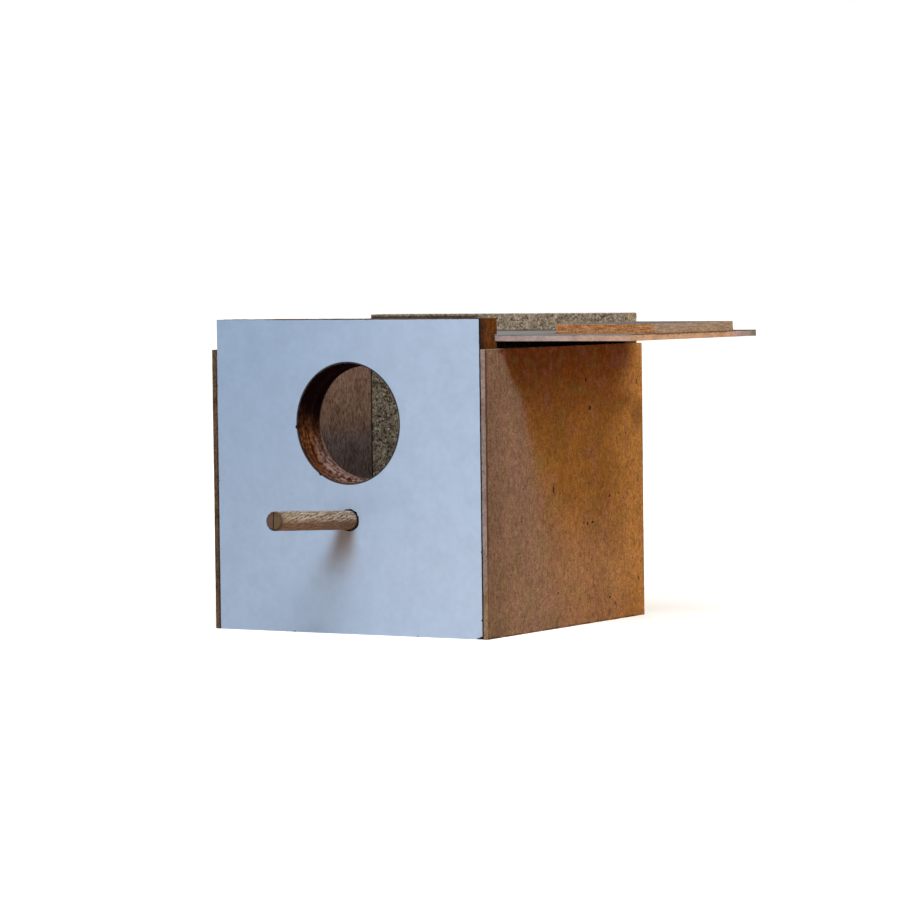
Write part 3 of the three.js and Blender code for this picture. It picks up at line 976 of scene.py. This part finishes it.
def make_perch():
    """The dowel: rings along its length whose radius dips into each flute, wanders a little as
    turned wood does and falls away over the chamfered tip."""
    inner = front_high[1] - face_y - PERCH_INSET
    body = np.arange(-PERCH_REACH + PERCH_CHAMFER, inner, PERCH_STEP)
    tip = -PERCH_REACH + PERCH_CHAMFER * np.array([0, 0, 0.5])
    depths = np.concatenate([tip, body, [inner, inner]])
    plain = np.full(len(depths), PERCH_RADIUS)
    plain[1:3] -= PERCH_CHAMFER * np.array([1, 0.5])
    angles, along = np.broadcast_arrays(around(FLUTES * FLUTE_POINTS)[None, :], depths[:, None])
    wall = np.stack([PERCH_RADIUS * np.cos(angles), 0.3 * along, PERCH_RADIUS * np.sin(angles)], axis=-1)
    radii = plain[:, None] - FLUTE_DEPTH * flute_valley(angles, along)
    radii += 0.03 * (waves(wall, 1.6, seed=81) - 1)
    perch = turned_body("perch_dowel", depths, radii, perch_start, perch_turn)
    points = np.empty(len(perch.data.vertices) * 3)
    perch.data.vertices.foreach_get("co", points)
    level = (points.reshape(-1, 3) / MM - perch_start) @ np.array(perch_turn.to_3x3())
    valley = flute_valley(np.arctan2(level[:, 2], level[:, 0]), level[:, 1])
    perch.data.attributes.new("valley", "FLOAT", "POINT").data.foreach_set("value", np.clip(valley, 0, 1))
    paint(perch, beech)
    settle(perch, "box", "beech_dowel", "perch")


# A brad's outline from the top of its head, in shares of the head's radius and thickness
BRAD_HEAD = ((0, 0), (0.5, -0.02), (0.85, -0.1), (1, -0.3), (1, -0.85), (0.9, -1))


def make_brads():
    """The brads: a head that is slightly domed, on a shank that ends in a point."""
    for node in brad_nodes(""):
        length, head, turn = brad_place(node)
        shank = [(BRAD_SHANK_RADIUS, -BRAD_HEAD_THICKNESS),
                 (BRAD_SHANK_RADIUS, 2 * BRAD_SHANK_RADIUS - length), (0, -length)]
        rings = np.concatenate([np.array(BRAD_HEAD) * (BRAD_HEAD_RADIUS, BRAD_HEAD_THICKNESS), shank])
        brad = turned_body(f"{node}_pin", rings[:, 1], np.outer(rings[:, 0], np.ones(24)), head, turn)
        paint(brad, brad_steel)
        settle(brad, "box", "brad_steel", node)


# Stage, light and camera

WHITE = (1, 1, 1, 1)
FILL_STRENGTH = 0.27
FILL_COLOUR = (1.14, 1.0, 0.82, 1)
# Soft lamps: name, direction from the box, distance, width, power and colour
LAMPS = (
    ("key_lamp", (0.3, -0.54, 0.78), 1.3, 0.72, 15.5, (0.92, 1.0, 1.12)),
    ("side_lamp", (0.95, 0.2, 0.2), 0.9, 0.5, 1.7, (1.1, 1.0, 0.86)),
    ("rear_lamp", (-0.6, 0.75, 0.5), 1.6, 0.9, 5.0, (1.0, 1.0, 1.0)),
)
FLOOR_REACH = 12000
FLOOR_NEAR_GLOW = 0.55
FLOOR_FAR_GLOW = 0.9

# Camera, worked out from the box's edges in the photograph
CAMERA_PLACE = (1.04699, -1.69347, 0.17159)
CAMERA_YAW = math.radians(31.455)
CAMERA_PITCH = math.radians(2.509)
CAMERA_ROLL = math.radians(-0.708)
CAMERA_LENS = 162.207
SENSOR_WIDTH = 36


def make_stage():
    """A plain pale floor that keeps the box's shadow, in a white surround. The camera sees the
    floor lifted to white by a glow that grows away from the box, where the lamps don't reach."""
    ends = FLOOR_REACH * np.array([[-1, -1, 0], [1, -1, 0], [1, 1, 0], [-1, 1, 0]])
    floor = joined("studio_floor", ends, np.array([[0, 1, 2, 3]]))
    finish = Finish("studio_floor")
    glow = finish.between(finish.out(finish.x, finish.y), 250, 1100, FLOOR_NEAR_GLOW, FLOOR_FAR_GLOW)
    seen = finish.value("ShaderNodeLightPath", {}, "Is Camera Ray")
    finish.feed(finish.shader, {
        "Base Color": (0.83, 0.79, 0.72, 1), "Roughness": 0.9, "Specular IOR Level": 0,
        "Emission Color": WHITE, "Emission Strength": seen * glow})
    floor.data.materials.append(finish.material)
    make_world()


def make_world():
    """White where the camera, gloss or glass sees it, and a faint warm fill for the rest."""
    world = bpy.data.worlds.new("studio")
    bpy.context.scene.world = world
    world.use_nodes = True
    sky = Nodes(world.node_tree)
    path = sky.add("ShaderNodeLightPath", {}).outputs
    seen = sky.maths("MAXIMUM", path["Is Camera Ray"], path["Is Glossy Ray"])
    seen = sky.maths("MAXIMUM", seen, path["Is Transmission Ray"])
    sky.feed(sky.tree.nodes["Background"], {
        "Color": sky.mix(seen, FILL_COLOUR, WHITE),
        "Strength": sky.between(seen, 0, 1, FILL_STRENGTH, 1)})


def make_lamps():
    """Square soft lamps that look at the middle of the box."""
    middle = np.array([0, 0, (front_low[2] + front_high[2]) / 2 * MM])
    for name, direction, distance, width, power, colour in LAMPS:
        data = bpy.data.lights.new(name, "AREA")
        data.size = width
        data.energy = power
        data.color = colour
        outward = np.array(direction) / np.linalg.norm(direction)
        place = Matrix.Translation(middle + distance * outward)
        linked(name, data).matrix_world = place @ looking(-outward)


def looking(forward):
    """The turn of something that looks along forward with its right side level."""
    right = np.cross(forward, (0, 0, 1))
    right /= np.linalg.norm(right)
    return Matrix((right, np.cross(right, forward), -forward)).transposed().to_4x4()


def make_camera():
    """The camera, turned by its yaw from straight on, its pitch down and its roll."""
    forward = np.array([
        -math.sin(CAMERA_YAW) * math.cos(CAMERA_PITCH),
        math.cos(CAMERA_YAW) * math.cos(CAMERA_PITCH),
        -math.sin(CAMERA_PITCH),
    ])
    data = bpy.data.cameras.new("camera")
    data.lens = CAMERA_LENS
    data.sensor_width = SENSOR_WIDTH
    data.clip_end = 30
    camera = linked("camera", data)
    roll = Matrix.Rotation(CAMERA_ROLL, 4, "Z")
    camera.matrix_world = Matrix.Translation(CAMERA_PLACE) @ looking(forward) @ roll
    bpy.context.scene.camera = camera


make_camera()
make_lamps()
make_stage()
make_front()
make_side("left")
make_side("right")
make_back()
make_floor()
make_lid()
make_perch()
make_brads()

bpy.context.scene.view_settings.view_transform = "Standard"
